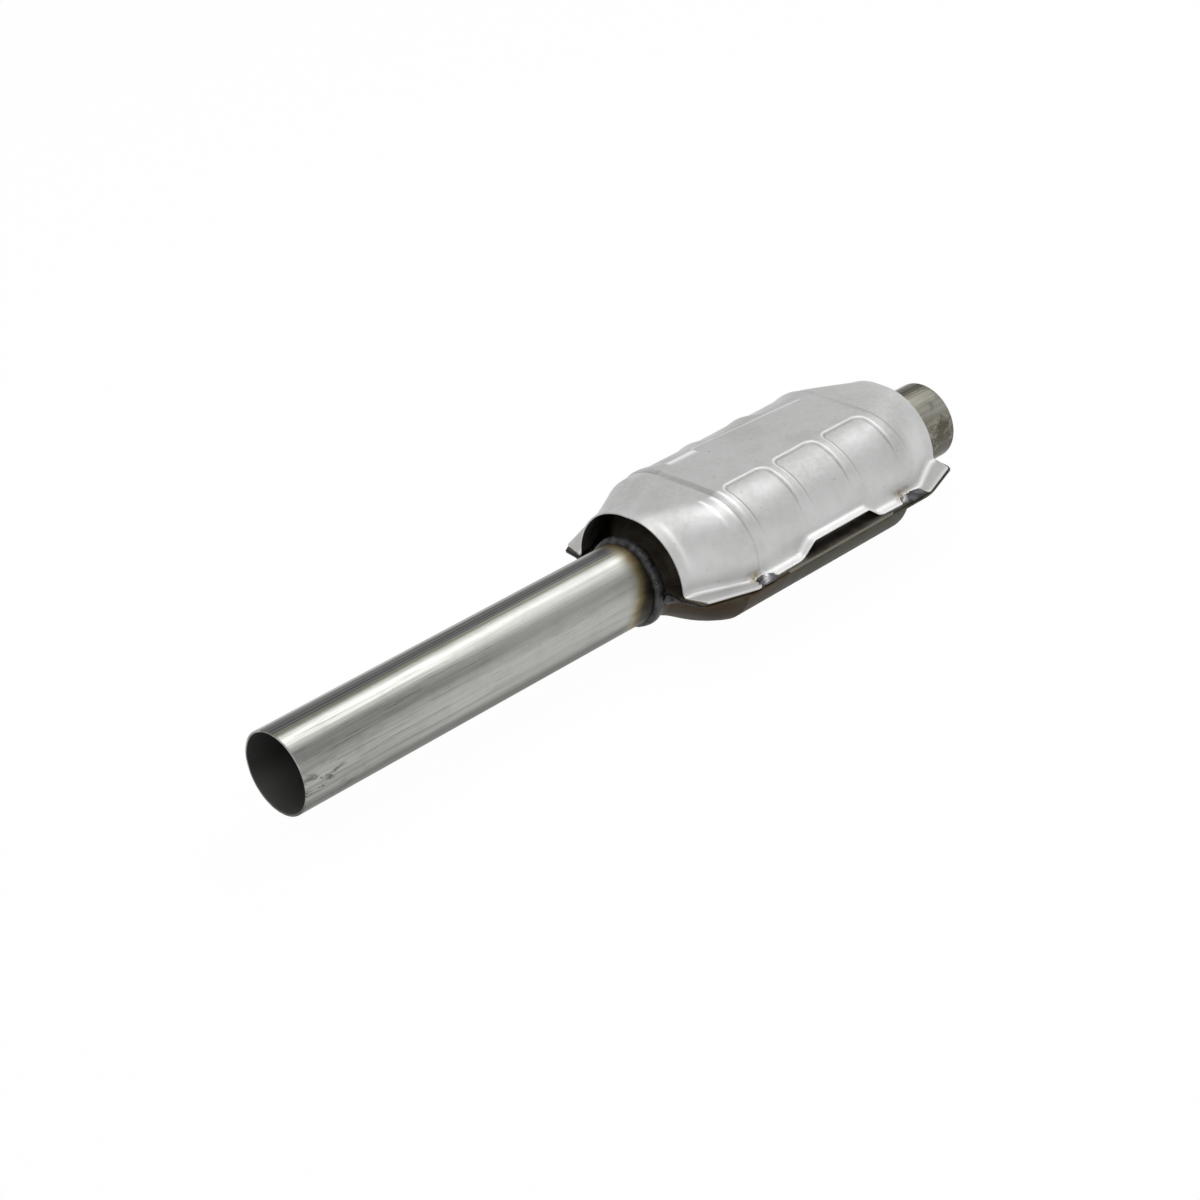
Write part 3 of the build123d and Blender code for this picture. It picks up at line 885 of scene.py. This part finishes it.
rib_rise = 1.2 * mm
rib_pitch = 49 * mm
rib_count = 4
first_rib = 59 * mm
rib_half = 4.3 * mm
fold_half = 1.0 * mm
step_half = 1.6 * mm
last_rib = first_rib + (rib_count - 1) * rib_pitch
panel_top = 0.9 * mm
far_panel_top = 9 * mm
far_dash_end = 93 * mm
far_line_stops = [
    (66 * mm, 4.4 * mm),
    (far_dash_end, 3.3 * mm),
    (94 * mm, 8.2 * mm),
    (139 * mm, 4.1 * mm),
    (178 * mm, 2.0 * mm),
    (198 * mm, 0.0),
]
far_fold_half = 5 * mm
panel_foot = 75 * mm
panel_corner = 6.5 * mm
fade_start = 34 * mm
fade_end = 57 * mm

tab_half_width = shield_high.y
tab_nose = 4.5 * mm
tab_corner = 39.5 * mm
tab_stops = [(0.0, arch_size.x), (tab_nose, 65.3 * mm), (tab_corner, tab_half_width)]
inlet_notch = [
    (43 * mm, tab_half_width - 0.3 * mm),
    (46 * mm, 71 * mm),
    (58.5 * mm, 71 * mm),
    (61 * mm, 75.2 * mm),
]
outlet_notch = [
    (41.5 * mm, tab_half_width - 0.2 * mm),
    (43.5 * mm, 70.5 * mm),
    (63 * mm, 70.5 * mm),
    (66 * mm, 75.4 * mm),
]
joggle_stops = [(84 * mm, 74.8 * mm), (91 * mm, 72.8 * mm)]
rim_stops = tab_stops + inlet_notch + joggle_stops
outlet_stops = tab_stops + outlet_notch + joggle_stops
rim_bends = [run for run, _ in rim_stops[1:]]
rim_bends += [shield_length - run for run, _ in outlet_stops[1:]]
rim_stops += [(shield_length - run, reach) for run, reach in reversed(outlet_stops)]
rim_ease = 0.8 * mm
raised_ease = 1.5 * mm
raised_rise = 8.3 * mm
raised_stops = [
    (0.0, 0.0),
    (90 * mm, 0.0),
    (100.5 * mm, raised_rise),
    (156.5 * mm, raised_rise),
    (167 * mm, 0.0),
    (shield_length, 0.0),
]
dent_depth = 0.35 * mm
dent_size = 26 * mm
near_scorch = 47 * mm
far_scorch = 197 * mm
crease_width = 0.5 * mm
end_crease_width = 0.6 * mm


def off_panel(run, below_edge, top):
    """Distance outside the nearest sunk side panel's rounded border, less than nought inside."""
    nearest = 1.0
    for rib in range(rib_count - 1):
        middle = first_rib + (rib + 0.5) * rib_pitch
        half_run = rib_pitch / 2 - rib_half - panel_corner
        half_drop = (panel_foot - top) / 2 - panel_corner
        past_run = abs(run - middle) - half_run
        past_drop = abs(below_edge - (panel_foot + top) / 2) - half_drop
        corner = sqrt(max(past_run, 0.0) ** 2 + max(past_drop, 0.0) ** 2)
        nearest = min(nearest, corner + min(max(past_run, past_drop), 0.0) - panel_corner)
    return nearest


def past_ends(run):
    """Distance inside the ribbed stretch from its nearer end, and that end's strength of fold."""
    near = run - first_rib + rib_half
    far = last_rib + rib_half - run
    return (near, 1.0) if near < far else (far, 0.6)


def proud(run, below_edge, side):
    """How far the sheet stands out at a run, and a drop below the top panel's edge."""
    ribbed = smooth_step(-step_half, step_half, past_ends(run)[0])
    fade = 1 - smooth_step(fade_start, fade_end, below_edge)
    if side < 0:
        sunk = smooth_step(fold_half, -fold_half, off_panel(run, below_edge, panel_top))
    else:
        sunk = smooth_step(far_fold_half, -far_fold_half, off_panel(run, below_edge, far_panel_top))
    return rib_rise * ribbed * fade * (1 - sunk)


def drop_below_edge(run, zone, share):
    """Way down the sheet from the top panel's long edge, less than nought on the panel."""
    half_width, _, corner = eased(run, size_stops, size_ease)
    if zone == "top":
        return -(half_width - corner) * (1 - share)
    turn = (pi / 2 - wall_draft) * corner
    if zone == "corner":
        return turn * share
    return turn + (corner * sin(wall_draft) * share if zone == "wall" else 2 * foot_fold)


def line_mark(distance, width):
    """One on a line, fading to nought over a width each side."""
    return exp(-((distance / width) ** 2))


def fold_shade_and_tab_dirt(run, zone, share, side):
    """Painted shade in the inner bends of the folds and at the top panel's end steps, and dirt on the
    tabs.
    """
    drop = drop_below_edge(run, zone, share)
    inside, strength = past_ends(run)
    fade = 1 - smooth_step(26 * mm, 50 * mm, drop)
    panel = line_mark(off_panel(run, drop, panel_top) + fold_half, crease_width) * fade * (side < 0)
    on_top = 1 - smooth_step(0.0, 5 * mm, drop)
    end_fold = line_mark(inside + step_half, end_crease_width)
    end_fold = max(end_fold, 0.8 * on_top * line_mark(inside - step_half, end_crease_width))
    end_fold = max(end_fold, 0.45 * on_top * line_mark(inside, 1.3 * step_half))
    low_line = 0.35 if strength == 1.0 else 0.0
    if zone == "top":
        end_fold *= 0.35 + 0.65 * (1 - side * share) / 2
    if zone == "rim":
        return 0.60 * (1 - smooth_step(56 * mm, 62 * mm, min(run, shield_length - run)))
    return max(panel, end_fold * strength * max(fade, low_line))


def far_edge_line(run, drop):
    """The top panel's far edge: a painted highlight, a broad dash, then a fine line to the outlet
    end.
    """
    ends = far_line_stops[0][0], far_line_stops[-1][0]
    width, strength = (2.6 * mm, 1.0) if run < far_dash_end else (0.75 * mm, 0.6)
    inside_ends = smooth_step(0.0, 3 * mm, min(run - ends[0], ends[1] - run))
    return line_mark(drop - between(run, far_line_stops), width) * inside_ends * strength


def fold_highlight(run, zone, share, side):
    """Painted highlights along the outer bends of the folds, the collar and the rim."""
    lifted = smooth_step(0.0, raised_rise, between(run, raised_stops))
    lifted = max(lifted, smooth_step(58 * mm, 64 * mm, min(run, shield_length - run)))
    if zone == "rim":
        return max(0.7 * lifted, 0.9 * smooth_step(0.7, 0.95, share))
    if zone == "fold":
        return max(0.7 * lifted, 0.55) * smooth_step(0.1, 0.8, share)
    drop = drop_below_edge(run, zone, share)
    if side > 0:
        return far_edge_line(run, drop)
    fade = 1 - smooth_step(18 * mm, 40 * mm, drop)
    border = 0.62 * line_mark(off_panel(run, drop, panel_top) - 0.8 * fold_half, 0.9 * mm) * fade
    shoulder_lines = [(near_shoulder, 1.2 * mm), (near_barrel, 1.8 * mm), (near_rib, 1.1 * mm)]
    shoulder = max(line_mark(run - bend, width) for bend, width in shoulder_lines)
    shoulder *= smooth_step(1 * mm, 5 * mm, drop) * (1 - smooth_step(14 * mm, 34 * mm, drop))
    collar = 0.7 * line_mark(run - collar_run, 2.2 * mm)
    collar *= smooth_step(12 * mm, 26 * mm, drop) * (1 - smooth_step(40 * mm, 62 * mm, drop))
    return max(border, shoulder, collar)


def weld_scorch(run, zone, share, side):
    """Straw and brown stains low on the wall, beside the welds on the rim."""
    wall_drop = {"wall": 40 * mm * (1 - share), "fold": 0.0, "rim": -6 * mm * share}.get(zone, 1.0)
    near = line_mark(run - near_scorch, 6.5 * mm)
    far = line_mark(run - far_scorch, 10 * mm)
    return max(near, far) * line_mark(wall_drop - 3 * mm, 8 * mm)


def shield_point(run, zone, share, side):
    """Place on the shield's outside: top, corner, wall, fold at the wall's foot, or rim."""
    half_width, height, corner = eased(run, size_stops, size_ease)
    middle = half_width - corner
    base = height - corner
    lift = eased(run, raised_stops, raised_ease)
    rim_level = shield_foot + lift + shield_sheet
    reach = max(eased(run, rim_stops, rim_ease) - half_width, 0.0)
    soft = smooth_step(50 * mm, 64 * mm, min(run, shield_length - run))
    fold = min(foot_fold + soft * (mid_foot_fold - foot_fold), 0.55 * reach)
    wall_top = Vector((middle + corner * cos(wall_draft), base + corner * sin(wall_draft)))
    wall_slope = (half_width - wall_top.x) / (wall_top.y - shield_foot)
    wall_foot = rim_level + min(fold, wall_top.y - 0.4 * mm - rim_level)
    if zone == "top":
        y, z = middle * share, height + proud(run, -middle * (1 - share), side)
        outward = Vector((0, 1))
    elif zone == "corner":
        angle = pi / 2 - (pi / 2 - wall_draft) * share
        outward = Vector((cos(angle), sin(angle)))
        out = corner + proud(run, (pi / 2 - angle) * corner, side)
        y, z = middle + out * outward.x, base + out * outward.y
    elif zone == "wall":
        z = wall_top.y + (wall_foot - wall_top.y) * share
        y = half_width - (z - shield_foot) * wall_slope
        outward = Vector((1, 0))
    elif zone == "fold":
        angle = pi / 2 * share
        foot = half_width - (wall_foot - shield_foot) * wall_slope
        y = foot + (half_width + fold - foot) * (1 - cos(angle))
        z = rim_level + (wall_foot - rim_level) * (1 - sin(angle))
        outward = Vector((0, 0))
    else:
        y = half_width + fold + (reach - fold) * share
        z = rim_level
        outward = Vector((0, 0))
    place = Vector((shield_start + run, side * y, z))
    dent = min(dent_depth * (noise.noise(place / dent_size) - 0.5), 0.0)
    place.y += side * outward.x * dent
    place.z += outward.y * dent
    return place


def even_shares(count):
    """Shares from just above nought to one."""
    return [(i + 1) / count for i in range(count)]


bends = [0.0, 2 * mm, tab_nose, collar_run, tab_corner, near_shoulder, near_barrel, 62.5 * mm]
bends += [shield_length - bend for bend in bends]
bends += [place for place, _ in raised_stops[1:-1]] + rim_bends
shield_folds = [(bend, 3 * mm, 1.0 * mm) for bend in bends]
for rib in range(rib_count):
    rib_middle = first_rib + rib * rib_pitch
    shield_folds += [(rib_middle + half, 2.6 * mm, 0.5 * mm) for half in (-rib_half, rib_half)]
    shield_folds += [(rib_middle + half, 8 * mm, 1.4 * mm) for half in (-rib_half, rib_half)]
shield_step = 3.2 * mm
shield_runs = places_along(shield_length, shield_step, shield_folds)
edge_shares = [0.90, 0.93, 0.955, 0.975, 0.99]
border_share = 0.05
turned_share = 0.14
corner_shares = [0.0] + [border_share * share for share in even_shares(8)]
corner_shares += [border_share + (turned_share - border_share) * s for s in even_shares(8)]
corner_shares += [turned_share + (1 - turned_share) * share for share in even_shares(22)]
shield_rows = sheet_rows(
    [
        ("top", [0.0, 0.2, 0.4, 0.6, 0.75, 0.85] + edge_shares),
        ("corner", corner_shares),
        ("wall", even_shares(5)),
        ("fold", even_shares(5)),
        ("rim", even_shares(4)),
    ]
)


def shield_finish():
    """Bright aluminised sheet: cloudy, painted shade on top and in its folds, painted highlights on
    its folds, scorched at its welds.
    """
    material, tree, shader, place = new_material("bright_shield_sheet")
    dirt = use_group(tree, grime, {"Place": place, "Patch": 26.0, "Speck": 330.0})
    cloud = span(tree, noise_at(tree, place, 28, 5, 0.6), 0.30, 0.70)
    spangle = noise_at(tree, place, 260, 6, 0.72)
    shade_and_dirt_line = mesh_mark(tree, "fold_shade_and_tab_dirt")
    highlight_line = mesh_mark(tree, "fold_highlight")
    scorch = mesh_mark(tree, "weld_scorch")
    colour = blend_colour(tree, cloud, (0.490, 0.492, 0.482), (0.590, 0.592, 0.590))
    spangled = span(tree, spangle, 0.35, 0.65, 0.0, 0.34)
    colour = blend_colour(tree, spangled, colour, (0.70, 0.70, 0.70))
    height = shader_node(tree, "SeparateXYZ", {0: place}).outputs["Z"]
    # Lighter low on the wall: a painted reflection of the floor
    lower_wall_light = span(tree, height, 44 * mm, 26 * mm, 0.0, 0.62)
    colour = blend_colour(tree, lower_wall_light, colour, (0.69, 0.69, 0.685))
    # Darker on top: painted shade
    top_shade = span(tree, height, 46 * mm, 49.5 * mm, 0.0, 0.36)
    colour = blend_colour(tree, top_shade, colour, (0.370, 0.370, 0.366))
    colour = tinted(tree, colour, (0.30, 0.29, 0.25), dirt["Patches"], 0.18)
    colour = tinted(tree, colour, (0.10, 0.09, 0.08), dirt["Specks"], 0.65)
    # Painted highlights along the folds, the collar and the rim
    colour = tinted(tree, colour, (0.95, 0.95, 0.945), highlight_line, 0.85)
    # Painted shade in the fold creases, and dirt on the tabs
    colour = tinted(tree, colour, (0.16, 0.155, 0.14), shade_and_dirt_line, 0.62)
    blotch = span(tree, noise_at(tree, place, 190, 4, 0.65), 0.35, 0.62)
    straw = span(tree, scorch, 0.10, 0.75)
    colour = tinted(tree, colour, (0.42, 0.34, 0.21), straw, blotch, 0.75)
    burnt = span(tree, scorch, 0.72, 0.9)
    blackest = span(tree, blotch, 0.75, 0.98)
    colour = tinted(tree, colour, (0.05, 0.042, 0.03), burnt, blackest, 0.85)
    relief = maths(tree, "ADD", product(tree, spangle, 0.4), cloud)
    paint(
        tree,
        shader,
        Base_Color=colour,
        Metallic=0.62,
        Roughness=span(tree, cloud, 0.0, 1.0, 0.60, 0.50, "LINEAR"),
        Normal=bumped(tree, relief, depth=0.12 * mm),
    )
    return material


def shield_back_finish():
    """The shield's hidden side, painted dark as shade, and dull."""
    material, tree, shader, place = new_material("shaded_shield_back")
    cloud = span(tree, noise_at(tree, place, 40, 5, 0.6), 0.35, 0.65)
    # Dark colours: painted shade on the hidden side
    colour = blend_colour(tree, cloud, (0.130, 0.122, 0.112), (0.230, 0.220, 0.208))
    paint(tree, shader, Base_Color=colour, Metallic=0.5, Roughness=0.65)
    return material


shield_marks = {"fold_shade_and_tab_dirt": fold_shade_and_tab_dirt, "fold_highlight": fold_highlight, "weld_scorch": weld_scorch}
shield_bm = pressed_sheet(shield_runs, shield_rows, shield_point, shield_marks)
shield = bare_piece(
    "ribbed_shield", shield_bm, shield_finish(), ["heat_shield"], 60, facing=1
)
thickened(shield, shield_sheet, edge_round=0.22 * mm, inside_material=shield_back_finish())


# Shield welds: four lumpy puddles of steel filler, laid in the notches of the shield's rim,
# which burn it to the shells' flange.
puddle_metal = weld_metal("puddle_metal", (0.040, 0.041, 0.046), (0.115, 0.117, 0.126))
puddle_overlap = 1.2
puddle_rise = 1.6
puddle_lumps = [(3.2 * mm, 1.1 * mm), (1.4 * mm, 0.35 * mm)]
crest_width = 1.9 * mm
crest_rise = 0.9 * mm
crest_slant = Vector((0.76, 0.65))


def puddle(name, node, crest_run):
    """A lumpy low mound over the plain solid's own print, with a crest slanting over it that carries
    a painted highlight.
    """
    low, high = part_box(node)
    middle = (low + high) / 2
    half = (high - low) / 2
    side = 1 if middle.y > 0 else -1
    bm = bmesh.new()
    crest_layer = bm.verts.layers.float.new("crest")
    bmesh.ops.create_icosphere(bm, subdivisions=5, radius=1)
    for v in bm.verts:
        outward = v.co.copy()
        v.co.x *= half.x * puddle_overlap
        v.co.y *= half.y
        v.co.z *= half.z * puddle_rise
        for size, depth in puddle_lumps:
            v.co += outward * lumpiness(v.co + middle, size, depth)
        across = crest_slant.x * (v.co.x - crest_run) + crest_slant.y * side * v.co.y
        crest = line_mark(across, crest_width) * max(outward.z, 0.0)
        v[crest_layer] = crest
        v.co.z = max(v.co.z + crest_rise * crest, 0.0)
        v.co += Vector((middle.x, middle.y, low.z))
        v.co.y = side * min(side * v.co.y, tab_half_width - 0.1 * mm)
    return bare_piece(name, bm, puddle_metal, [node], 60)


for side_name in ("left", "right"):
    puddle(f"inlet_puddle_{side_name}", f"inlet_shield_weld_{side_name}", 1.5 * mm)
    puddle(f"outlet_puddle_{side_name}", f"outlet_shield_weld_{side_name}", -9 * mm)


# Inside the body: two channelled ceramic bricks, each wrapped in a fibre mat between two
# knitted wire seals. Their plain solids stay, each with its own finish.
def ceramic_finish():
    """Matt fired ceramic with a warm grey washcoat."""
    material, tree, shader, place = new_material("washcoated_ceramic")
    cloud = span(tree, noise_at(tree, place, 60, 4), 0.35, 0.65)
    colour = blend_colour(tree, cloud, (0.42, 0.38, 0.31), (0.55, 0.51, 0.43))
    grit = noise_at(tree, place, 1600, 3)
    relief = bumped(tree, grit, depth=0.1 * mm)
    paint(tree, shader, Base_Color=colour, Roughness=0.9, Normal=relief)
    return material


def mat_finish():
    """Pale pressed fibre."""
    material, tree, shader, place = new_material("pressed_fibre")
    fibres = noise_at(tree, place, 500, 5, 0.7, (0.2, 1, 1))
    colour = blend_colour(tree, fibres, (0.62, 0.59, 0.50), (0.80, 0.77, 0.68))
    relief = bumped(tree, fibres, depth=0.3 * mm)
    paint(tree, shader, Base_Color=colour, Roughness=0.95, Normal=relief)
    return material


def seal_finish():
    """Knitted wire: rows of bright loops over dark gaps."""
    material, tree, shader, place = new_material("knitted_wire")
    loops = shader_node(tree, "TexVoronoi", {"Vector": place, "Scale": 900.0})
    wire = span(tree, loops.outputs["Distance"], 0.55, 0.25)
    colour = blend_colour(tree, wire, (0.10, 0.10, 0.10), (0.50, 0.50, 0.48))
    relief = bumped(tree, wire, depth=0.3 * mm)
    paint(tree, shader, Base_Color=colour, Metallic=0.9, Roughness=0.4, Normal=relief)
    return material


def refinish(nodes, material):
    """Give solids that stay as they are their own material."""
    for name in nodes:
        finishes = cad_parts[name].data.materials
        finishes.clear()
        finishes.append(material)


refinish(("front_brick", "rear_brick"), ceramic_finish())
refinish(("front_mat", "rear_mat"), mat_finish())
seal_nodes = [f"{brick}_{end}_seal" for brick in ("front", "rear") for end in ("inlet", "outlet")]
refinish(seal_nodes, seal_finish())
